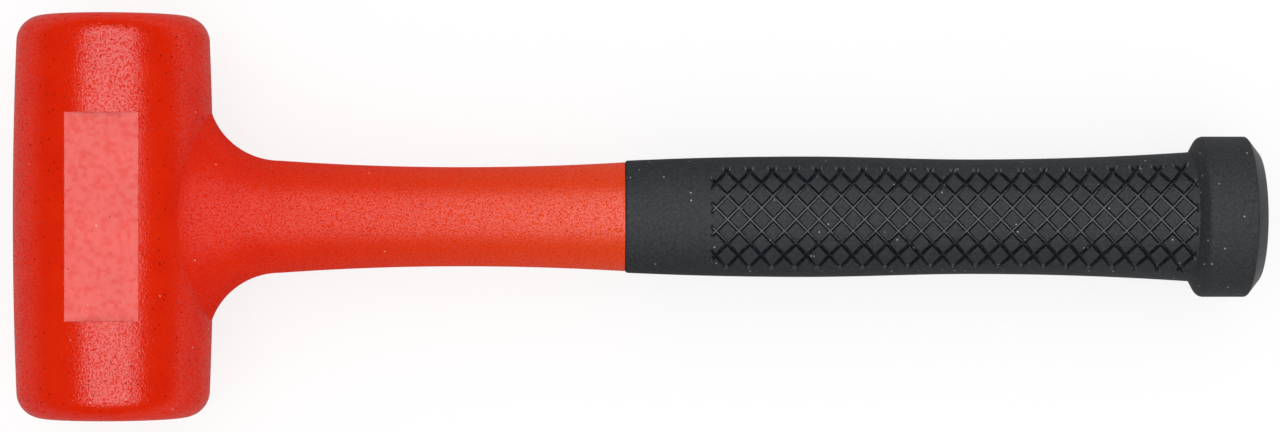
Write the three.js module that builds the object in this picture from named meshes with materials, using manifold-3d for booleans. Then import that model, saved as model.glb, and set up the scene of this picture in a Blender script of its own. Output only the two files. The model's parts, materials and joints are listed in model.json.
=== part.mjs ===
// Dead blow hammer, in millimetres.
// A urethane head and neck are cast in one piece over a steel canister and a steel handle rod.
// Loose steel shot slides in the canister, and a rubber grip covers the tail of the casting.
// On the hammer's own axes the head runs along Y and the handle along +X from the head's axis.
// The hammer then lies on the plane z = 0, on the crown of its head and the rim of its butt.

import * as THREE from "three";
import { mergeVertices } from "three/addons/utils/BufferGeometryUtils.js";
import Module from "manifold-3d";

const wasm = await Module();
wasm.setup();

// Head
const headLength = 102.5; // from one striking face to the other
const headDiameter = 50.8; // at the middle of its crown
const headCrown = 0.9; // how far the radius falls from the middle to the ends
const headEdgeRadius = 6.7; // round each striking face
const headFaceWall = 10.5; // urethane behind each striking face
const headSideWall = 6.2; // urethane round the canister, at the ends of the crown

// Flat label panel, sunk into the upper side of the head
const panelLength = 52.2; // along the head
const panelWidth = 18.4;
const panelDepth = 2.15; // below the crown, so that its sides stay straight to the ends

// Neck, with lengths from the side of the head
const neckLength = 104.9;
const neckWaistReach = 63.3;
const neckWaistDiameter = 25.4;
const neckRootDiameter = 28.7; // where the flare ends
const neckEndDiameter = 27.9; // at the grip
const flareWidth = 55; // along the head
const flareHeight = 34.8; // across the head
const flareRadius = 18.1; // of its hollow, seen from above
const flareSink = 0.3; // its rim starts this far inside the side of the head

// Grip, with lengths from its front end
const gripLength = 144.9;
const gripBellyReach = 46.5;
const gripWaistReach = 88.5;
const gripFrontDiameter = 28.7;
const gripBellyDiameter = 30.9;
const gripWaistDiameter = 29.4;
const gripRearDiameter = 33.2;
const gripLipRadius = 0.8; // round its front edge
const gripWall = 4; // rubber over the tail, at the front end

// Butt knob at the rear of the grip
const knobDiameter = 41.2;
const knobLength = 17.3;
const knobConeLength = 2.2; // from the grip to the knob's full diameter
const knobEdgeRadius = 1.2; // round the top of that cone
const knobChamferLength = 4;
const knobEndDiameter = 33;
const knobEndWall = 9; // rubber behind the tail

// Steel inside
const rodDiameter = 9.5;
const canisterWall = 1.6;
const capFlange = 2.5; // thickness outside the tube
const capSpigot = 3; // depth inside the tube
const shotTravel = 4.5; // least free length left along the canister

// Clearances
const seatGap = 0.3; // between pieces that are cast in, plugged in or pulled over
const shotGap = 0.3; // between the shot and round it

// Facets
const roundSteps = 48; // round a large turned piece
const rodSteps = 24; // round the rod and its bore
const curveSteps = 5; // along each curve of an outline, and twice that along an arc
const shotDetail = 1; // times that the faces of an icosahedron are split

// Sizes that follow from those above
const headRadius = headDiameter / 2;
const headEndRadius = headRadius - headCrown;
const neckRootRadius = neckRootDiameter / 2;
const knobRadius = knobDiameter / 2;
const cavityRadius = headEndRadius - headSideWall;
const cavityLength = headLength - 2 * headFaceWall;
const canisterRadius = cavityRadius - seatGap;
const canisterBore = canisterRadius - canisterWall;
const canisterLength = cavityLength - 2 * seatGap;
const tubeLength = canisterLength - 2 * (capFlange + seatGap);
const tailRadius = gripFrontDiameter / 2 - gripWall;
const sleeveBore = tailRadius + seatGap;
const rodRadius = rodDiameter / 2;
const rodBore = rodRadius + seatGap;
const gripFront = headRadius + neckLength + seatGap;
const gripRear = gripFront + gripLength;
const buttEnd = gripRear + knobLength;
const sleeveEnd = buttEnd - knobEndWall;
const tailEnd = sleeveEnd - seatGap;
const knobRim = buttEnd - knobChamferLength; // rear end of the knob's full diameter

// Finishes
const urethane = new THREE.MeshStandardMaterial({ color: 0xd62002, roughness: 0.4, metalness: 0 });
const rubber = new THREE.MeshStandardMaterial({ color: 0x35373a, roughness: 0.6, metalness: 0 });
const steel = new THREE.MeshStandardMaterial({ color: 0x9a9c9e, roughness: 0.35, metalness: 1 });
const shotSteel = new THREE.MeshStandardMaterial({ color: 0x6f7173, roughness: 0.5, metalness: 1 });

// Turns an outline of (place along the axis, radius) points round the Y axis.
function turn(outline, steps) {
  const profile = outline.getPoints(curveSteps).map((point) => new THREE.Vector2(point.y, point.x));
  return new THREE.LatheGeometry(profile, steps);
}

// The same, round the X axis.
function turnAlongX(outline, steps) {
  return turn(outline, steps).rotateZ(-Math.PI / 2);
}

// A plain cylinder from one place on its axis to another, as an outline to turn.
function barOutline(start, end, radius) {
  return new THREE.Path().moveTo(start, 0).lineTo(start, radius).lineTo(end, radius).lineTo(end, 0);
}

// A closed geometry as a solid for joins and cuts, and a solid as a geometry.
function solidOf(geometry) {
  const bare = geometry.clone();
  bare.deleteAttribute("normal");
  bare.deleteAttribute("uv");
  const merged = mergeVertices(bare);
  const vertProperties = merged.getAttribute("position").array;
  const triVerts = new Uint32Array(merged.index.array);
  return new wasm.Manifold(new wasm.Mesh({ numProp: 3, vertProperties, triVerts }));
}

function geometryOf(solid) {
  const mesh = solid.getMesh();
  const geometry = new THREE.BufferGeometry();
  geometry.setAttribute("position", new THREE.BufferAttribute(mesh.vertProperties, 3));
  geometry.setIndex(new THREE.BufferAttribute(mesh.triVerts, 1));
  geometry.computeVertexNormals();
  return geometry;
}

// Head barrel: flat faces, round edges and a slight crown
function headBarrel() {
  const end = headLength / 2;
  const corner = end - headEdgeRadius;
  const flatRadius = headEndRadius - headEdgeRadius;
  const outline = new THREE.Path()
    .moveTo(-end, 0)
    .lineTo(-end, flatRadius)
    .absarc(-corner, flatRadius, headEdgeRadius, Math.PI, Math.PI / 2, true)
    .quadraticCurveTo(0, headRadius + headCrown, corner, headEndRadius)
    .absarc(corner, flatRadius, headEdgeRadius, Math.PI / 2, 0, true)
    .lineTo(end, 0);
  return solidOf(turn(outline, roundSteps));
}

// Radius of the head's crown at a place along the head
function crownRadius(y) {
  return headRadius - headCrown * (y / (headLength / 2 - headEdgeRadius)) ** 2;
}

// Neck and tail: round, but the flare's rim is an oval that lies on the side of the head
function neckAndTail() {
  const rimWidth = flareWidth / 2;
  const rimHeight = flareHeight / 2;
  const waistRadius = neckWaistDiameter / 2;
  const hollow = neckRootRadius + flareRadius; // centre of the flare's hollow, from the handle's axis
  const sweep = Math.acos((hollow - rimWidth) / flareRadius);
  const rim = headRadius - flareSink;
  const root = rim + flareRadius * Math.sin(sweep);
  const waist = headRadius + neckWaistReach;
  const end = headRadius + neckLength;
  const outline = new THREE.Path()
    .moveTo(0, 0)
    .lineTo(0, rimWidth)
    .lineTo(rim, rimWidth)
    .absarc(root, hollow, flareRadius, -Math.PI / 2 - sweep, -Math.PI / 2, false)
    .quadraticCurveTo((root + waist) / 2, waistRadius, waist, waistRadius)
    .quadraticCurveTo((waist + end) / 2, waistRadius, end, neckEndDiameter / 2)
    .lineTo(end, tailRadius)
    .lineTo(tailEnd, tailRadius)
    .lineTo(tailEnd, 0);
  const geometry = turnAlongX(outline, roundSteps);
  const place = geometry.getAttribute("position");
  for (let i = 0; i < place.count; i += 1) {
    const x = place.getX(i);
    const radius = Math.hypot(place.getY(i), place.getZ(i));
    if (x < root && radius > 0) {
      const across = place.getY(i) / radius;
      const upward = place.getZ(i) / radius;
      const seat = Math.sqrt(crownRadius(rimWidth * across) ** 2 - (rimHeight * upward) ** 2) - flareSink;
      const height = THREE.MathUtils.mapLinear(radius, neckRootRadius, rimWidth, neckRootRadius, rimHeight);
      place.setZ(i, height * upward);
      if (x > rim / 2) place.setX(i, THREE.MathUtils.mapLinear(x, rim, root, seat, root));
    }
  }
  return solidOf(geometry);
}

// Space in the casting for the canister, and the hole that the rod runs through
const cavity = solidOf(turn(barOutline(-cavityLength / 2, cavityLength / 2, cavityRadius), roundSteps));
const rodHole = solidOf(turnAlongX(barOutline(0, buttEnd, rodBore), rodSteps));

function headCasting() {
  const panel = new THREE.BoxGeometry(panelWidth, panelLength, 2 * panelDepth);
  const pocket = solidOf(panel.translate(0, 0, headRadius));
  const block = headBarrel().add(neckAndTail());
  return geometryOf(block.subtract(pocket).subtract(cavity).subtract(rodHole));
}

function canisterTube() {
  const end = tubeLength / 2;
  const outline = new THREE.Path()
    .moveTo(-end, canisterBore)
    .lineTo(-end, canisterRadius)
    .lineTo(end, canisterRadius)
    .lineTo(end, canisterBore)
    .lineTo(-end, canisterBore);
  return turn(outline, roundSteps);
}

// Cap at the +Y end: a flange over the end of the tube and a spigot inside it
function canisterCap() {
  const outside = canisterLength / 2;
  const shoulder = outside - capFlange;
  const inside = tubeLength / 2 - capSpigot;
  const spigotRadius = canisterBore - seatGap;
  const outline = new THREE.Path()
    .moveTo(inside, 0)
    .lineTo(inside, spigotRadius)
    .lineTo(shoulder, spigotRadius)
    .lineTo(shoulder, canisterRadius)
    .lineTo(outside, canisterRadius)
    .lineTo(outside, 0);
  return turn(outline, roundSteps);
}

// Rod: its front end is hollowed to sit against the side of the canister
function handleRod() {
  const bar = solidOf(turnAlongX(barOutline(0, tailEnd, rodRadius), rodSteps));
  return geometryOf(bar.subtract(cavity));
}

// Grip: a sleeve with a belly and a waist, closed at the rear by the butt knob
function gripSleeve() {
  const front = gripFrontDiameter / 2;
  const belly = gripBellyDiameter / 2;
  const waist = gripWaistDiameter / 2;
  const rear = gripRearDiameter / 2;
  const bellyAt = gripFront + gripBellyReach;
  const waistAt = gripFront + gripWaistReach;
  const bend = (bellyAt + waistAt) / 2;
  const coneTop = gripRear + knobConeLength;
  const coneEdge = new THREE.Vector2(knobConeLength, knobRadius - rear).setLength(knobEdgeRadius);
  const outline = new THREE.Path()
    .moveTo(sleeveEnd, 0)
    .lineTo(sleeveEnd, sleeveBore)
    .lineTo(gripFront, sleeveBore)
    .lineTo(gripFront, front - gripLipRadius)
    .quadraticCurveTo(gripFront, front, gripFront + gripLipRadius, front)
    .quadraticCurveTo((gripFront + bellyAt) / 2, belly, bellyAt, belly)
    .bezierCurveTo(bend, belly, bend, waist, waistAt, waist)
    .quadraticCurveTo((waistAt + gripRear) / 2, waist, gripRear, rear)
    .lineTo(coneTop - coneEdge.x, knobRadius - coneEdge.y)
    .quadraticCurveTo(coneTop, knobRadius, coneTop + knobEdgeRadius, knobRadius)
    .lineTo(knobRim, knobRadius)
    .lineTo(buttEnd, knobEndDiameter / 2)
    .lineTo(buttEnd, 0);
  return turnAlongX(outline, roundSteps);
}

// Shot: layers of seven balls, one in the middle and six round it, centred along the canister
const shotRadius = (canisterBore - 2 * shotGap) / 3; // three radii and two gaps reach the wall
const shotPitch = 2 * shotRadius + shotGap;
const shotRing = 6;

function shotPlaces() {
  const freeLength = tubeLength - 2 * capSpigot;
  const layers = Math.floor((freeLength - shotTravel) / shotPitch);
  const places = [];
  for (let layer = 0; layer < layers; layer += 1) {
    const y = (layer - (layers - 1) / 2) * shotPitch;
    places.push(new THREE.Vector3(0, y, 0));
    for (let ball = 0; ball < shotRing; ball += 1) {
      const angle = (2 * Math.PI * ball) / shotRing;
      places.push(new THREE.Vector3(shotPitch * Math.cos(angle), y, shotPitch * Math.sin(angle)));
    }
  }
  return places;
}

// The hammer on its own axes
const hammer = new THREE.Group();

function addPiece(name, geometry, material) {
  const piece = new THREE.Mesh(geometry, material);
  piece.name = name;
  hammer.add(piece);
  return piece;
}

addPiece("head_casting", headCasting(), urethane);
addPiece("canister_tube", canisterTube(), steel);
addPiece("canister_cap_left", canisterCap(), steel).rotation.z = Math.PI;
addPiece("canister_cap_right", canisterCap(), steel);
addPiece("handle_rod", handleRod(), steel);
addPiece("grip_sleeve", gripSleeve(), rubber);
shotPlaces().forEach((place, i) => {
  const ball = new THREE.IcosahedronGeometry(shotRadius, shotDetail);
  addPiece("shot_" + String(i + 1).padStart(2, "0"), ball, shotSteel).position.copy(place);
});

// Lying pose: the butt drops until the rim of its knob meets the plane that the head lies on,
// and the origin is under the middle of the hammer's box
const rimReach = Math.hypot(knobRim, knobRadius);
hammer.rotation.y = Math.asin(headRadius / rimReach) - Math.atan2(knobRadius, knobRim);
const part = new THREE.Group();
part.add(hammer);
const box = new THREE.Box3().setFromObject(part, true);
const middle = box.getCenter(new THREE.Vector3());
hammer.position.set(-middle.x, -middle.y, -box.min.z);

export default part;
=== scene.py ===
import bpy
import bmesh
import json
from math import acos, asin, atan2, cos, pi, sin, sqrt, tan
from mathutils import Matrix, Vector


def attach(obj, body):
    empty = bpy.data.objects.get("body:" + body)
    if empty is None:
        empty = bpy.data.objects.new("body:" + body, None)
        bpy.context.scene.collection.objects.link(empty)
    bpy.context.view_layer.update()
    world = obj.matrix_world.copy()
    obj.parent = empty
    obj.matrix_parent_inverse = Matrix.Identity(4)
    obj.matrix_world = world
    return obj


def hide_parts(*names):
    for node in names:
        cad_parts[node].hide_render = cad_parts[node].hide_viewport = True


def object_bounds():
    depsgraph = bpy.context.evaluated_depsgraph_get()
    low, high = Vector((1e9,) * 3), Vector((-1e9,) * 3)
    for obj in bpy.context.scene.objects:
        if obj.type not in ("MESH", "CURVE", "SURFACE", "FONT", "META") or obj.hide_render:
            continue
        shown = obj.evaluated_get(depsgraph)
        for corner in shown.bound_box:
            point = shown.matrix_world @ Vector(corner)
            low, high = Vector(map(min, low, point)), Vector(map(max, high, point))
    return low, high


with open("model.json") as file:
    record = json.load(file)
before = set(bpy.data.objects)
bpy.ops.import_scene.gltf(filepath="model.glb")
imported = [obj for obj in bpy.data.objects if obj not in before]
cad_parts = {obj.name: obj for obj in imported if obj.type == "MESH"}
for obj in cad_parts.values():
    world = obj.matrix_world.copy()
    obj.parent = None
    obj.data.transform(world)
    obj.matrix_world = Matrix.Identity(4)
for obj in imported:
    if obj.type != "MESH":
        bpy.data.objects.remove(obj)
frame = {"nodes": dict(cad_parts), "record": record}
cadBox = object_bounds()
scene = bpy.context.scene
scene.view_settings.view_transform = 'Standard'

# The head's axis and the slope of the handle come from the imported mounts.
# Pieces are modelled in mm on the hammer's own axes, with the head along Y and the handle along +X,
# and toFrame then lays them in the frame.
mounts = {m["name"]: m for m in frame["record"]["mounts"]}
faceRight = Vector(mounts["striking_face_right"]["pos_m"])
faceLeft = Vector(mounts["striking_face_left"]["pos_m"])
headCentre = (faceRight + faceLeft) / 2
buttAxis = mounts["butt_end"]["axis"]
slope = Matrix.Rotation(atan2(-buttAxis[2], buttAxis[0]), 4, 'Y')
toFrame = Matrix.Translation(headCentre) @ slope @ Matrix.Scale(0.001, 4)
fineWeld, weld, coarseWeld = 0.0005, 0.001, 0.002  # mm, points closer than this become one


def linear(hexCode):  # sRGB hex to linear colour
    parts = [int(hexCode[i:i + 2], 16) / 255 for i in (1, 3, 5)]
    return [p / 12.92 if p <= 0.04045 else ((p + 0.055) / 1.055) ** 2.4 for p in parts] + [1]


def addNode(tree, kind, inputs=None, **settings):  # a tuple in inputs is a link: (node, output)
    node = tree.nodes.new(kind)
    for name, value in settings.items():
        setattr(node, name, value)
    for name, value in (inputs or {}).items():
        if isinstance(value, tuple):
            tree.links.new(value[0].outputs[value[1]], node.inputs[name])
        else:
            node.inputs[name].default_value = value
    return node


def newMaterial(name):
    material = bpy.data.materials.new(name)
    material.use_nodes = True
    material.node_tree.nodes.clear()
    return material, material.node_tree


def perMetre(sizeMm):  # texture scale that gives features of this size
    return 1000 / sizeMm


# Pale dust that clings to a surface: some cells of a Voronoi pattern hold a small soft speck.
def dustSpecks(tree, spot, finish):
    dust = addNode(tree, 'ShaderNodeTexVoronoi', {
        'Vector': spot, 'Scale': perMetre(finish["dustSpacing"])})
    pick = addNode(tree, 'ShaderNodeSeparateColor', {'Color': (dust, 'Color')})
    chosen = addNode(tree, 'ShaderNodeMath', {
        0: (pick, 1), 1: finish["dustShare"]}, operation='LESS_THAN')
    rim = finish["dustSize"] / finish["dustSpacing"]
    inside = addNode(tree, 'ShaderNodeMapRange', {
        'Value': (dust, 'Distance'), 'From Min': rim / 2, 'From Max': rim,
        'To Min': finish["dustCover"], 'To Max': 0})
    return addNode(tree, 'ShaderNodeMath', {0: (chosen, 0), 1: (inside, 0)}, operation='MULTIPLY')


# Cast polyurethane, glossy where the mould was polished. The head shows an orange peel that
# frays its highlight, the neck a fine stipple that spreads it, and the panel is nearly smooth.
def castUrethane(name, finish):
    material, tree = newMaterial(name)
    place = addNode(tree, 'ShaderNodeTexCoord')
    spot = (place, 'Object')
    peel = addNode(tree, 'ShaderNodeTexNoise', {
        'Vector': spot, 'Scale': perMetre(finish["grain"]), 'Detail': finish["grainDetail"],
        'Roughness': finish["grainRoughness"], 'Distortion': finish["grainTwist"]})
    peelBump = addNode(tree, 'ShaderNodeBump', {
        'Height': (peel, 0), 'Strength': 1, 'Distance': finish["grainHeight"] / 1000})
    waves = addNode(tree, 'ShaderNodeTexNoise', {
        'Vector': spot, 'Scale': perMetre(finish["wave"]), 'Detail': 1})
    waveBump = addNode(tree, 'ShaderNodeBump', {
        'Height': (waves, 0), 'Strength': 1, 'Distance': finish["waveHeight"] / 1000,
        'Normal': (peelBump, 0)})
    cloud = addNode(tree, 'ShaderNodeTexNoise', {
        'Vector': spot, 'Scale': perMetre(finish["cloud"]), 'Detail': 2})
    cloudShare = addNode(tree, 'ShaderNodeMapRange', {
        'Value': (cloud, 0), 'From Min': finish["cloudRange"][0], 'From Max': finish["cloudRange"][1],
        'To Min': 0, 'To Max': 1})
    # pits left by air in the mould, in patches: some cells of a Voronoi pattern hold a small one, which
    # is dull and painted dark as painted shade in its hollow
    pits = addNode(tree, 'ShaderNodeTexVoronoi', {
        'Vector': spot, 'Scale': perMetre(finish["pitSpacing"])})
    pitPick = addNode(tree, 'ShaderNodeSeparateColor', {'Color': (pits, 'Color')})
    pitShare = addNode(tree, 'ShaderNodeMath', {
        0: (cloudShare, 0), 1: finish["pitShare"]}, operation='MULTIPLY')
    pitChosen = addNode(tree, 'ShaderNodeMath', {
        0: (pitPick, 0), 1: (pitShare, 0)}, operation='LESS_THAN')
    pitRim = finish["pitSize"] / finish["pitSpacing"]
    pitInside = addNode(tree, 'ShaderNodeMapRange', {
        'Value': (pits, 'Distance'), 'From Min': pitRim * finish["pitFloor"], 'From Max': pitRim,
        'To Min': 1, 'To Max': 0})
    pit = addNode(tree, 'ShaderNodeMath', {
        0: (pitChosen, 0), 1: (pitInside, 0)}, operation='MULTIPLY')
    speck = dustSpecks(tree, spot, finish)
    red = addNode(tree, 'ShaderNodeMixRGB', {
        'Fac': (cloudShare, 0), 'Color1': linear(finish["red"]), 'Color2': linear(finish["redDeep"])})
    # paler towards the grip, where the casting is thin
    axes = addNode(tree, 'ShaderNodeSeparateXYZ', {0: spot})
    alongHandle = addNode(tree, 'ShaderNodeMapRange', {
        'Value': (axes, 0), 'From Min': finish["handle"][0], 'From Max': finish["handle"][1],
        'To Min': 0, 'To Max': 1})
    warm = addNode(tree, 'ShaderNodeMixRGB', {
        'Fac': (alongHandle, 0), 'Color1': (red, 0), 'Color2': linear(finish["redHandle"])})
    # painted shade: each pit is painted dark, as if shade lay in its small hollow
    pitShaded = addNode(tree, 'ShaderNodeMixRGB', {
        'Fac': (pit, 0), 'Color1': (warm, 0), 'Color2': linear(finish["pitPaintedShade"])})
    dusty = addNode(tree, 'ShaderNodeMixRGB', {
        'Fac': (speck, 0), 'Color1': (pitShaded, 0), 'Color2': linear(finish["dustColour"])})
    # the mould's polish shows on the high spots of the grain, not in the pits, and less on the flare
    polish = addNode(tree, 'ShaderNodeMapRange', {
        'Value': (peel, 0), 'From Min': finish["peelRange"][0], 'From Max': finish["peelRange"][1],
        'To Min': finish["polish"][0], 'To Max': finish["polish"][1]})
    pitDull = addNode(tree, 'ShaderNodeMath', {0: 1, 1: (pit, 0)}, operation='SUBTRACT')
    polishHere = addNode(tree, 'ShaderNodeMapRange', {
        'Value': (alongHandle, 0), 'From Min': 0, 'From Max': 1,
        'To Min': finish["polishAlong"][0], 'To Max': finish["polishAlong"][1]})
    polishLeft = addNode(tree, 'ShaderNodeMath', {
        0: (polishHere, 0), 1: (pitDull, 0)}, operation='MULTIPLY')
    shine = addNode(tree, 'ShaderNodeMath', {
        0: (polish, 0), 1: (polishLeft, 0)}, operation='MULTIPLY')
    shader = addNode(tree, 'ShaderNodeBsdfPrincipled', {
        'Base Color': (dusty, 0), 'Roughness': finish["bodyRoughness"], 'IOR': finish["ior"],
        'Specular IOR Level': 0,  # all of its gloss is in the coat
        'Coat Weight': (shine, 0), 'Coat Roughness': finish["roughness"], 'Coat IOR': finish["ior"],
        'Normal': (waveBump, 0), 'Coat Normal': (waveBump, 0)})
    addNode(tree, 'ShaderNodeOutputMaterial', {'Surface': (shader, 0)})
    return material


# Moulded rubber with carbon black: a dull grey sheen, fine mottling and pale dust in its texture.
def mouldedRubber(name, finish):
    material, tree = newMaterial(name)
    place = addNode(tree, 'ShaderNodeTexCoord')
    spot = (place, 'Object')
    grain = addNode(tree, 'ShaderNodeTexNoise', {
        'Vector': spot, 'Scale': perMetre(finish["grain"]), 'Detail': 3, 'Roughness': 0.6})
    grainBump = addNode(tree, 'ShaderNodeBump', {
        'Height': (grain, 0), 'Strength': 1, 'Distance': finish["grainHeight"] / 1000})
    mottle = addNode(tree, 'ShaderNodeTexNoise', {
        'Vector': spot, 'Scale': perMetre(finish["mottle"]), 'Detail': 3, 'Roughness': 0.65})
    mottleShare = addNode(tree, 'ShaderNodeMapRange', {
        'Value': (mottle, 0), 'From Min': finish["mottleRange"][0], 'From Max': finish["mottleRange"][1],
        'To Min': 0, 'To Max': 1})
    black = addNode(tree, 'ShaderNodeMixRGB', {
        'Fac': (mottleShare, 0), 'Color1': linear(finish["black"]), 'Color2': linear(finish["grey"])})
    speck = dustSpecks(tree, spot, finish)
    dusty = addNode(tree, 'ShaderNodeMixRGB', {
        'Fac': (speck, 0), 'Color1': (black, 0), 'Color2': linear(finish["dustColour"])})
    # the piece's own attribute is 1 where the mould was polished
    smooth = addNode(tree, 'ShaderNodeAttribute', attribute_name="gloss")
    gloss = addNode(tree, 'ShaderNodeMapRange', {
        'Value': (smooth, 'Fac'), 'From Min': finish["glossFrom"], 'From Max': 1,
        'To Min': finish["roughness"], 'To Max': finish["smoothRoughness"]})
    shader = addNode(tree, 'ShaderNodeBsdfPrincipled', {
        'Base Color': (dusty, 0), 'Roughness': (gloss, 0), 'IOR': finish["ior"],
        'Specular IOR Level': finish["specular"], 'Normal': (grainBump, 0)})
    addNode(tree, 'ShaderNodeOutputMaterial', {'Surface': (shader, 0)})
    return material


# Mild steel: drawn tube and rod show fine lines along the draw, tumbled shot is dull and dinted.
def mildSteel(name, finish):
    material, tree = newMaterial(name)
    place = addNode(tree, 'ShaderNodeTexCoord')
    stretch = addNode(tree, 'ShaderNodeMapping', {
        'Vector': (place, 'Object'), 'Scale': [perMetre(s) for s in finish["line"]]})
    lines = addNode(tree, 'ShaderNodeTexNoise', {
        'Vector': (stretch, 0), 'Scale': 1, 'Detail': 4, 'Roughness': 0.6})
    bump = addNode(tree, 'ShaderNodeBump', {
        'Height': (lines, 0), 'Strength': 1, 'Distance': finish["lineHeight"] / 1000})
    tone = addNode(tree, 'ShaderNodeMixRGB', {
        'Fac': (lines, 0), 'Color1': linear(finish["dark"]), 'Color2': linear(finish["light"])})
    gloss = addNode(tree, 'ShaderNodeMapRange', {
        'Value': (lines, 0), 'From Min': 0.3, 'From Max': 0.7,
        'To Min': finish["roughness"][0], 'To Max': finish["roughness"][1]})
    shader = addNode(tree, 'ShaderNodeBsdfPrincipled', {
        'Base Color': (tone, 0), 'Metallic': 1, 'Roughness': (gloss, 0), 'Normal': (bump, 0)})
    addNode(tree, 'ShaderNodeOutputMaterial', {'Surface': (shader, 0)})
    return material


def lathe(points, axis, steps):  # a chain of extruded vertices, spun once round the axis
    bm = bmesh.new()
    tip = bm.verts.new(points[0])
    for point in points[1:]:
        tip = bmesh.ops.extrude_vert_indiv(bm, verts=[tip])["verts"][0]
        tip.co = point
    bmesh.ops.spin(bm, geom=bm.verts[:] + bm.edges[:], cent=(0, 0, 0), axis=axis, dvec=(0, 0, 0),
                   angle=2 * pi, steps=steps, use_merge=True)
    bmesh.ops.remove_doubles(bm, verts=bm.verts, dist=fineWeld)
    bmesh.ops.recalc_face_normals(bm, faces=bm.faces)
    return bm


def arc(centre, radius, start, end, steps):  # (along, out) points on an arc, both ends included
    angles = [start + (end - start) * i / steps for i in range(steps + 1)]
    return [(centre[0] + radius * cos(a), centre[1] + radius * sin(a)) for a in angles]


def makeObject(bm, name, *materials):
    mesh = bpy.data.meshes.new(name)
    bm.to_mesh(mesh)
    bm.free()
    for material in materials:
        mesh.materials.append(material)
    piece = bpy.data.objects.new(name, mesh)
    scene.collection.objects.link(piece)
    return piece


def smoothByAngle(bm, limit):  # edges that turn more than the limit stay sharp
    for face in bm.faces:
        face.smooth = True
    for edge in bm.edges:
        edge.smooth = len(edge.link_faces) == 2 and edge.calc_face_angle(0) < limit


print("camera and light")
view = {
    "lens": 99.1, "sensor": 36,       # mm
    "centre": (0.00064, 0.000185),
    "height": 0.9254,                 # above the table
}
camera = bpy.data.objects.new("camera", bpy.data.cameras.new("camera"))
camera.data.sensor_fit = 'HORIZONTAL'
camera.data.sensor_width = view["sensor"]
camera.data.lens = view["lens"]
camera.location = (*view["centre"], view["height"])
scene.collection.objects.link(camera)
scene.camera = camera

light = {
    "softboxSize": (1.25, 2.3),
    "softboxPlace": (-0.01, 0.18, 1.05),
    "softboxPower": 6.5,              # what it gives to everything
    "glossPower": 29,                 # what it adds in a gloss alone
    "layerGap": 0.02,                 # so that neither layer hides the other
    "room": 0.84, "white": "#ffffff",
}
layers = [("softbox", light["softboxPower"], True), ("softboxGloss", light["glossPower"], False)]
for name, power, matt in layers:
    softbox = bpy.data.objects.new(name, bpy.data.lights.new(name, 'AREA'))
    softbox.data.shape = 'RECTANGLE'
    softbox.data.size, softbox.data.size_y = light["softboxSize"]
    softbox.data.energy = power
    softbox.location = light["softboxPlace"]
    softbox.location.z += light["layerGap"] * matt
    softbox.visible_diffuse = matt
    scene.collection.objects.link(softbox)

# pale walls fill the shadows evenly, but are too far off to show in a gloss
world = bpy.data.worlds.new("room")
world.use_nodes = True
world.node_tree.nodes.clear()
air = addNode(world.node_tree, 'ShaderNodeBackground', {
    'Color': linear(light["white"]), 'Strength': light["room"]})
addNode(world.node_tree, 'ShaderNodeOutputWorld', {'Surface': (air, 0)})
world.cycles_visibility.glossy = False
scene.world = world

# white table: lit like paper and lifted to white; a gloss shows it dimmer, and paler towards the butt
tableTop = {
    "paper": "#fdfafb", "glow": "#ffffff", "size": 30,
    "lift": 0.8,                      # share of the glow in what is seen
    "dimFrom": -0.03, "dimTo": 0.28,  # along the hammer
    "dim": 0.18,                      # strength of the glow in a gloss, by the head
}
tableMaterial, table = newMaterial("whiteTable")
paths = addNode(table, 'ShaderNodeLightPath')
seen = addNode(table, 'ShaderNodeMath', {
    0: (paths, 'Is Camera Ray'), 1: (paths, 'Is Transmission Ray')}, operation='MAXIMUM')
anySeen = addNode(table, 'ShaderNodeMath', {
    0: (seen, 0), 1: (paths, 'Is Glossy Ray')}, operation='MAXIMUM')
lift = addNode(table, 'ShaderNodeMath', {
    0: (anySeen, 0), 1: tableTop["lift"]}, operation='MULTIPLY')
tablePlace = addNode(table, 'ShaderNodeTexCoord')
along = addNode(table, 'ShaderNodeSeparateXYZ', {0: (tablePlace, 'Object')})
dimmed = addNode(table, 'ShaderNodeMapRange', {
    'Value': (along, 0), 'From Min': tableTop["dimFrom"], 'From Max': tableTop["dimTo"],
    'To Min': tableTop["dim"], 'To Max': 1})
glow = addNode(table, 'ShaderNodeMath', {0: (seen, 0), 1: (dimmed, 0)}, operation='MAXIMUM')
paper = addNode(table, 'ShaderNodeBsdfDiffuse', {'Color': linear(tableTop["paper"])})
whiteGlow = addNode(table, 'ShaderNodeEmission', {
    'Color': linear(tableTop["glow"]), 'Strength': (glow, 0)})
mixed = addNode(table, 'ShaderNodeMixShader', {0: (lift, 0), 1: (paper, 0), 2: (whiteGlow, 0)})
addNode(table, 'ShaderNodeOutputMaterial', {'Surface': (mixed, 0)})
bm = bmesh.new()
bmesh.ops.create_grid(bm, x_segments=1, y_segments=1, size=tableTop["size"])
floor = makeObject(bm, "table", tableMaterial)

print("head casting")
head = {
    "length": (faceRight - faceLeft).length * 1000,
    "radius": (headCentre.x - cadBox[0][0]) * 1000,  # at the middle of the crown
    "crown": 0.9, "edge": 6.7,
    "panel": (18.4, 52.2), "panelDepth": 2.15,
    "panelTop": 25.4,                                # crown above the head's axis
    "cavity": (18.3, 81.5),                          # radius and length
    "rodBore": 5.05, "boreEnd": 292.8,
    "edgeSteps": 14, "crownSteps": 40, "roundSteps": 144, "cavitySteps": 96, "boreSteps": 48,
    "sharp": 0.42,                                   # radians, edges that turn more stay sharp
}
neck = {
    "flare": (27.5, 18.15),                          # half width along the head, half height
    "flareRadius": 18.1, "rim": 25.1, "sink": 0.3,
    "rootRadius": 14.35, "waist": 88.7, "waistRadius": 12.7,
    "end": 130.56, "endRadius": 13.95,
    "tailRadius": 10.35, "tailEnd": 283.5,
    "flareSteps": 24, "shaftSteps": 50,
}
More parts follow.
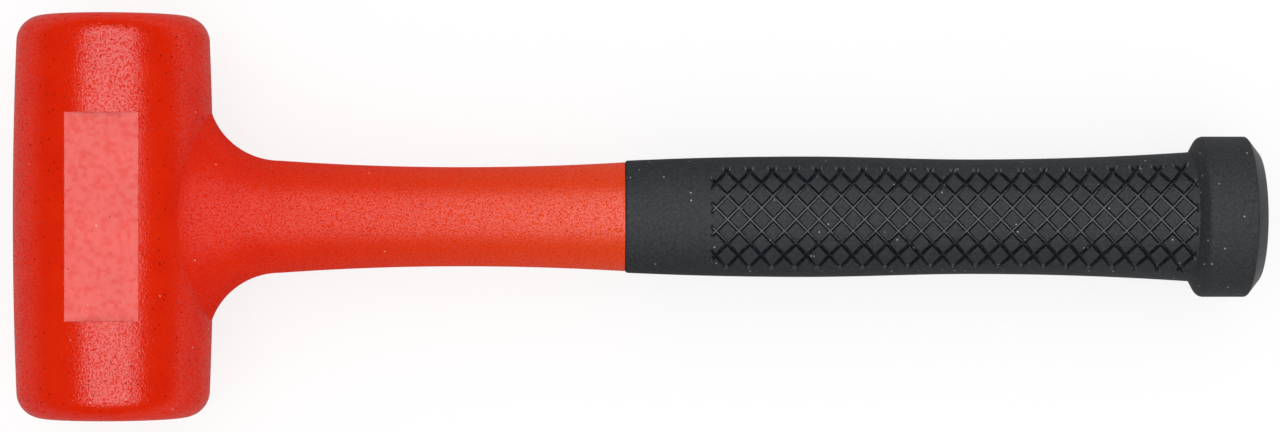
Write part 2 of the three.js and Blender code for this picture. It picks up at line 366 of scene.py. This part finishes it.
sharedRed = {
    "red": "#d42303", "redDeep": "#ce1d02", "redHandle": "#d43804",
    "handle": (-0.105, 0),                           # where the handle starts and ends, in the frame
    # the pit colour is painted shade in the mould's small pits
    "pitPaintedShade": "#6c0a04", "dustColour": "#efb0a4",
    "ior": 1.52, "bodyRoughness": 0.5, "cloud": 9, "cloudRange": (0.3, 0.7),
    "grainRoughness": 0.55, "peelRange": (0.37, 0.55),  # heights of the grain between dull and polished
    "pitSpacing": 1.3, "pitFloor": 0.6,                 # share of a pit that is flat
    "dustSpacing": 2.2, "dustSize": 0.28, "dustCover": 0.6,
}
headFinish = {
    **sharedRed, "grain": 0.52, "grainDetail": 2, "grainTwist": 0.4, "grainHeight": 0.1,
    "polish": (0.08, 0.93), "polishAlong": (1, 1),
    "wave": 6, "waveHeight": 0.04, "roughness": 0.12,
    "pitShare": 0.6, "pitSize": 0.26, "dustShare": 0.06,
}
neckFinish = {
    **sharedRed, "grain": 0.4, "grainDetail": 1, "grainTwist": 0, "grainHeight": 0.1,
    "polish": (0.02, 0.52), "polishAlong": (0.55, 1.5),  # the latter at the head and at the grip
    "wave": 5, "waveHeight": 0.02, "roughness": 0.34,
    "pitShare": 0.02, "pitSize": 0.25, "dustShare": 0.03,
}
panelFinish = {
    **sharedRed, "grain": 1.6, "grainDetail": 4, "grainTwist": 0, "grainHeight": 0.008,
    "polish": (0.63, 0.94), "polishAlong": (1, 1),
    "wave": 7, "waveHeight": 0.03, "roughness": 0.26,
    "pitShare": 0.05, "pitSize": 0.22, "dustShare": 0.03,
}
headRed = castUrethane("castUrethaneOrangePeel", headFinish)
neckRed = castUrethane("castUrethaneStippled", neckFinish)
panelRed = castUrethane("castUrethanePolished", panelFinish)

# barrel: its outline along the head, with round edges and a slight crown
halfHead = head["length"] / 2
corner = halfHead - head["edge"]
endRadius = head["radius"] - head["crown"]
edgeCentre = endRadius - head["edge"]
outline = [(-halfHead, 0)]
outline += arc((-corner, edgeCentre), head["edge"], pi, pi / 2, head["edgeSteps"])
for i in range(1, head["crownSteps"]):
    along = corner * (2 * i / head["crownSteps"] - 1)
    outline.append((along, head["radius"] - head["crown"] * (along / corner) ** 2))
outline += arc((corner, edgeCentre), head["edge"], pi / 2, 0, head["edgeSteps"])
outline += [(halfHead, 0)]
bm = lathe([(0, y, r) for y, r in outline], (0, 1, 0), head["roundSteps"])
casting = makeObject(bm, "headCasting", headRed)

# neck: a hollow flare, a long waist and the tail inside the grip
hollow = neck["rootRadius"] + neck["flareRadius"]
sweep = acos((hollow - neck["flare"][0]) / neck["flareRadius"])
root = neck["rim"] + neck["flareRadius"] * sin(sweep)


def neckRadius(x):  # grows from the waist towards both ends
    stop, radius = neck["end"], neck["endRadius"]
    if x < neck["waist"]:
        stop, radius = root, neck["rootRadius"]
    share = (x - neck["waist"]) / (stop - neck["waist"])
    return neck["waistRadius"] + (radius - neck["waistRadius"]) * share ** 2


outline = [(0, 0), (0, neck["flare"][0])]
outline += arc((root, hollow), neck["flareRadius"], -pi / 2 - sweep, -pi / 2, neck["flareSteps"])
for i in range(1, neck["shaftSteps"] + 1):
    along = root + (neck["end"] - root) * i / neck["shaftSteps"]
    outline.append((along, neckRadius(along)))
outline += [(neck["end"], neck["tailRadius"]), (neck["tailEnd"], neck["tailRadius"])]
outline += [(neck["tailEnd"], 0)]
bm = lathe([(x, 0, r) for x, r in outline], (1, 0, 0), head["roundSteps"])
for v in bm.verts:  # the flare's rim is an oval that lies on the side of the head
    radius = sqrt(v.co.y ** 2 + v.co.z ** 2)
    if v.co.x < root and radius > 0:
        across, upward = v.co.y / radius, v.co.z / radius
        share = (radius - neck["rootRadius"]) / (neck["flare"][0] - neck["rootRadius"])
        v.co.z = upward * (neck["rootRadius"] + (neck["flare"][1] - neck["rootRadius"]) * share)
        if v.co.x > neck["rim"] / 2:
            crownHere = head["radius"] - head["crown"] * (neck["flare"][0] * across / corner) ** 2
            seat = sqrt(crownHere ** 2 - (neck["flare"][1] * upward) ** 2) - neck["sink"]
            v.co.x = seat + (v.co.x - neck["rim"]) / (root - neck["rim"]) * (root - seat)
neckPiece = makeObject(bm, "neck", neckRed)

# panel pocket, space for the canister and bore for the rod
bm = bmesh.new()
bmesh.ops.create_cube(bm, size=1)
bmesh.ops.scale(bm, vec=(*head["panel"], 2 * head["panelDepth"]), verts=bm.verts)
bmesh.ops.translate(bm, vec=(0, 0, head["panelTop"]), verts=bm.verts)
pocket = makeObject(bm, "pocket", panelRed)


def roundBar(radius, length, steps, turn):
    bm = bmesh.new()
    bmesh.ops.create_cone(bm, cap_ends=True, segments=steps, radius1=radius, radius2=radius,
                          depth=length, matrix=turn)
    return bm


bm = roundBar(*head["cavity"], head["cavitySteps"], Matrix.Rotation(pi / 2, 4, 'X'))
cavity = makeObject(bm, "cavity", headRed)
boreTurn = Matrix.Translation((head["boreEnd"] / 2, 0, 0)) @ Matrix.Rotation(pi / 2, 4, 'Y')
bm = roundBar(head["rodBore"], head["boreEnd"], head["boreSteps"], boreTurn)
rodBore = makeObject(bm, "rodBore", neckRed)


def cutAndJoin(piece, steps):  # booleans on the piece, with its mesh replaced by the result
    for other, operation in steps:
        boolean = piece.modifiers.new(other.name, 'BOOLEAN')
        boolean.object = other
        boolean.operation = operation
        boolean.solver = 'EXACT'
        boolean.material_mode = 'TRANSFER'
    bpy.context.view_layer.update()
    evaluated = piece.evaluated_get(bpy.context.evaluated_depsgraph_get())
    result = bpy.data.meshes.new_from_object(evaluated)
    piece.modifiers.clear()
    piece.data = result
    for other, operation in steps:
        bpy.data.objects.remove(other)


cutAndJoin(casting, [
    (neckPiece, 'UNION'), (pocket, 'DIFFERENCE'), (cavity, 'DIFFERENCE'), (rodBore, 'DIFFERENCE')])
bm = bmesh.new()
bm.from_mesh(casting.data)
bmesh.ops.remove_doubles(bm, verts=bm.verts, dist=coarseWeld)
bmesh.ops.dissolve_degenerate(bm, edges=bm.edges, dist=coarseWeld)
smoothByAngle(bm, head["sharp"])
bmesh.ops.transform(bm, matrix=toFrame, verts=bm.verts)
bm.to_mesh(casting.data)
bm.free()
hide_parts("head_casting")
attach(casting, "hammer")
print("head casting faces", len(casting.data.polygons), [m.name for m in casting.data.materials])

print("grip sleeve")
grip = {
    "front": 130.6, "frontRadius": 14.35, "lip": 0.8,
    "belly": 177.1, "bellyRadius": 15.45,
    "waist": 219.1, "waistRadius": 14.7,
    "rear": 275.5, "rearRadius": 16.6,
    "bore": 10.65, "boreEnd": 283.8,
    "knobStart": 277.7, "knobRadius": 20.58, "knobEdge": 1.9,
    "rim": 289.6, "rimEdge": 0.7, "end": 292.8, "endRadius": 16.5, "endEdge": 0.6,
    "band": (2, 1.5),                                # rows on the knob keep this far from its edges
    "chamferGloss": 0.7, "endRings": (11, 5, 0),     # radii on the flat end
    "collarSteps": 12, "sideSteps": 6, "roundSteps": 6, "edgeSteps": 4,
    "sharp": 0.5,
}
lattice = {
    "node": (213.95, -0.7), "half": (2.882, 3.05),   # one crossing, and half the diamond's diagonals
    "cells": 32, "reach": 15.5,                      # grid before trimming, and its half width
    "floor": 0.17, "wall": 0.3, "shoulder": 0.06,    # half floor, wall and round shoulder of a groove
    "depth": 0.75, "wallTop": 0.12,                  # share of the depth at the top of the wall
    "longEdge": 1.2, "padCuts": 3,                   # longer edges are cut, so that diamonds curve
    "glossRise": 8,                                  # how fast the polish starts down the wall
    "start": 152.6, "end": 274.7,                    # full depth between these
    "sides": (0.81, -0.85),                          # sines of the angles from the top
    "fade": 0.5,                                     # length of the grooves' sloping ends
}


def gripRadius(x):
    if x < grip["belly"]:
        t = (grip["belly"] - x) / (grip["belly"] - grip["front"])
        return grip["bellyRadius"] - (grip["bellyRadius"] - grip["frontRadius"]) * t * t
    if x < grip["waist"]:
        t = (x - grip["belly"]) / (grip["waist"] - grip["belly"])
        return grip["bellyRadius"] + (grip["waistRadius"] - grip["bellyRadius"]) * t * t * (3 - 2 * t)
    t = (x - grip["waist"]) / (grip["rear"] - grip["waist"])
    return grip["waistRadius"] + (grip["rearRadius"] - grip["waistRadius"]) * t * t


# lattice in plan: a grid turned and scaled so that its edges are the grooves' centre lines
px, py = lattice["half"]
bm = bmesh.new()
bmesh.ops.create_grid(bm, x_segments=lattice["cells"], y_segments=lattice["cells"],
                      size=lattice["cells"] / 2)
turned = Matrix((
    (px, -px, 0, lattice["node"][0]),
    (py, py, 0, lattice["node"][1]),
    (0, 0, 1, 0),
    (0, 0, 0, 1)))
bmesh.ops.transform(bm, matrix=turned, verts=bm.verts)


def pastPattern(face):
    middle = face.calc_center_median()
    inLength = lattice["start"] - 2 * px < middle.x < lattice["end"] + 2 * px
    return not inLength or abs(middle.y) > lattice["reach"] + py


bmesh.ops.delete(bm, geom=[f for f in bm.faces if pastPattern(f)], context='FACES')
sink = bm.verts.layers.float.new("sink")
gloss = bm.verts.layers.float.new("gloss")
pads = bm.faces[:]
for v in bm.verts:
    v[sink] = 1
grooveSteps = [(lattice["floor"], 1), (lattice["wall"], lattice["wallTop"]), (lattice["shoulder"], 0)]
for width, level in grooveSteps:
    bmesh.ops.inset_individual(bm, faces=pads, thickness=width, use_even_offset=True)
    for f in pads:
        for v in f.verts:
            v[sink] = level
longEdges = [e for e in bm.edges if e.calc_length() > lattice["longEdge"]]
bmesh.ops.subdivide_edges(bm, edges=longEdges, cuts=lattice["padCuts"], use_grid_fill=True)

# trimmed in (along, sine of the angle) so that the sides of the pattern follow the grip
for v in bm.verts:
    v.co.y /= gripRadius(v.co.x)
sideFade = lattice["fade"] / grip["bellyRadius"]
cuts = [((lattice["start"], 0, 0), (-1, 0, 0), lattice["fade"]),
        ((lattice["end"], 0, 0), (1, 0, 0), lattice["fade"])]
cuts += [((0, side, 0), (0, side / abs(side), 0), sideFade) for side in lattice["sides"]]
for place, outwards, fade in cuts:
    edgeOfAll = Vector(place) + Vector(outwards) * fade
    for at, clear in ((place, False), (edgeOfAll, True)):
        bmesh.ops.bisect_plane(bm, geom=bm.verts[:] + bm.edges[:] + bm.faces[:], dist=fineWeld,
                               plane_co=at, plane_no=outwards, clear_outer=clear, use_snap_center=True)
    for v in bm.verts:
        past = (v.co - Vector(place)).dot(Vector(outwards)) / fade
        v[sink] *= min(max(1 - past, 0), 1)

# from here y is the angle from the top; the sides grow down to the widest line
reach = bm.verts.layers.float.new("reach")
for v in bm.verts:
    v.co.y = asin(v.co.y)
    v[reach] = gripRadius(v.co.x) - lattice["depth"] * v[sink]
    v[gloss] = min(v[sink] * lattice["glossRise"], 1)  # walls and floors of the grooves


def grow(edges, moves):  # extrudes a row of edges again and again, each time moved by a function
    for move in moves:
        grown = bmesh.ops.extrude_edge_only(bm, edges=edges)["geom"]
        edges = [g for g in grown if isinstance(g, bmesh.types.BMEdge)
                 and all(v in grown for v in g.verts) and len(g.link_faces) == 1]
        for v in {v for e in edges for v in e.verts}:
            move(v)


def toAngle(angle):
    def move(v):
        v.co.y = angle
    return move


def toRow(x, radius, shine=0):
    def move(v):
        v.co.x = x
        v[reach] = radius
        v[gloss] = shine
    return move


def openRow(axis, place):  # open edges that lie at this place along the axis
    return [e for e in bm.edges if len(e.link_faces) == 1
            and all(abs(v.co[axis] - place) < weld for v in e.verts)]


for side in lattice["sides"]:
    sign = side / abs(side)
    sideEnd = asin(side + sign * sideFade)
    sideStep = (sign * pi / 2 - sideEnd) / grip["sideSteps"]
    grow(openRow(1, sideEnd), [toAngle(sideEnd + sideStep * (i + 1)) for i in range(grip["sideSteps"])])

# forwards: the smooth collar, the lip, the bore and its closed end
startX = lattice["start"] - lattice["fade"]
lipX = grip["front"] + grip["lip"]
rows = []
for i in range(1, grip["collarSteps"] + 1):
    x = startX + (lipX - startX) * i / grip["collarSteps"]
    rows.append((x, gripRadius(x)))
lipCentre = (lipX, gripRadius(lipX) - grip["lip"])
rows += arc(lipCentre, grip["lip"], pi / 2, pi, grip["roundSteps"])[1:]
rows += [(grip["front"], grip["bore"]), (grip["boreEnd"], grip["bore"]), (grip["boreEnd"], 0)]
grow(openRow(0, startX), [toRow(*row) for row in rows])


def roundCorner(before, at, after, radius, steps):  # arc that replaces a corner of an outline
    a = (Vector(before) - Vector(at)).normalized()
    b = (Vector(after) - Vector(at)).normalized()
    half = a.angle(b) / 2
    centre = Vector(at) + (a + b).normalized() * radius / sin(half)
    first = Vector(at) + a * radius / tan(half) - centre
    last = Vector(at) + b * radius / tan(half) - centre
    spokes = [first.slerp(last, i / steps).normalized() for i in range(steps + 1)]
    return [tuple(centre + spoke * radius) for spoke in spokes]


# backwards: the cone, the knob, its chamfer and the flat end
endX = lattice["end"] + lattice["fade"]
foot = (grip["rear"], gripRadius(grip["rear"]))
coneTop = (grip["knobStart"], grip["knobRadius"])
rimPoint = (grip["rim"], grip["knobRadius"])
endPoint = (grip["end"], grip["endRadius"])
knobTop = roundCorner(foot, coneTop, rimPoint, grip["knobEdge"], grip["roundSteps"])
rimRound = roundCorner(coneTop, rimPoint, endPoint, grip["rimEdge"], grip["edgeSteps"])
endRound = roundCorner(rimPoint, endPoint, (grip["end"], 0), grip["endEdge"], grip["edgeSteps"])
bandStart, bandEnd = coneTop[0] + grip["band"][0], rimPoint[0] - grip["band"][1]
shares = [i / grip["edgeSteps"] for i in range(grip["edgeSteps"] + 1)]
rows = [(*foot, 0)] + [(*point, 0) for point in knobTop]
rows += [(bandStart + (bandEnd - bandStart) * share, grip["knobRadius"], 0) for share in shares]
rows += [(*point, grip["chamferGloss"] * share) for point, share in zip(rimRound, shares)]
rows += [(*point, grip["chamferGloss"] * (1 - share)) for point, share in zip(endRound, shares)]
rows += [(grip["end"], radius, 0) for radius in grip["endRings"]]
grow(openRow(0, endX), [toRow(*row) for row in rows])

for v in bm.verts:  # wrapped round the handle's axis
    angle, radius = v.co.y, v[reach]
    v.co = (v.co.x, radius * sin(angle), radius * cos(angle))
bmesh.ops.remove_doubles(bm, verts=bm.verts, dist=weld)
bmesh.ops.mirror(bm, geom=bm.verts[:] + bm.edges[:] + bm.faces[:], merge_dist=coarseWeld, axis='Z')
bmesh.ops.remove_doubles(bm, verts=bm.verts, dist=weld)
bmesh.ops.dissolve_degenerate(bm, edges=bm.edges, dist=fineWeld)
bmesh.ops.recalc_face_normals(bm, faces=bm.faces)
smoothByAngle(bm, grip["sharp"])
print("grip open edges", sum(1 for e in bm.edges if len(e.link_faces) != 2), "faces", len(bm.faces))
bmesh.ops.transform(bm, matrix=toFrame, verts=bm.verts)

rubberFinish = {
    "black": "#080a0d", "grey": "#22272e", "dustColour": "#e2e4e8", "ior": 1.5, "specular": 0.41,
    "roughness": 0.76, "smoothRoughness": 0.26, "glossFrom": 0.2,
    "grain": 0.4, "grainHeight": 0.12, "mottle": 0.7, "mottleRange": (0.32, 0.68),
    "dustSpacing": 2, "dustSize": 0.24, "dustShare": 0.16, "dustCover": 0.5,
}
rubber = mouldedRubber("mouldedRubberBlack", rubberFinish)
gripPiece = makeObject(bm, "gripSleeve", rubber)
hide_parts("grip_sleeve")
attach(gripPiece, "hammer")

print("steel inside")
drawnSteel = mildSteel("drawnSteel", {
    "dark": "#86888a", "light": "#a9abad", "roughness": (0.29, 0.41),
    "line": (0.4, 4, 0.4), "lineHeight": 0.01})
shotSteel = mildSteel("tumbledSteelShot", {
    "dark": "#5f6163", "light": "#808284", "roughness": (0.44, 0.56),
    "line": (0.6, 0.6, 0.6), "lineHeight": 0.02})
for name, node in frame["nodes"].items():
    if name.startswith(("canister", "handle_rod", "shot")):
        steel = shotSteel if name.startswith("shot") else drawnSteel
        for used in node.material_slots:
            used.material = steel
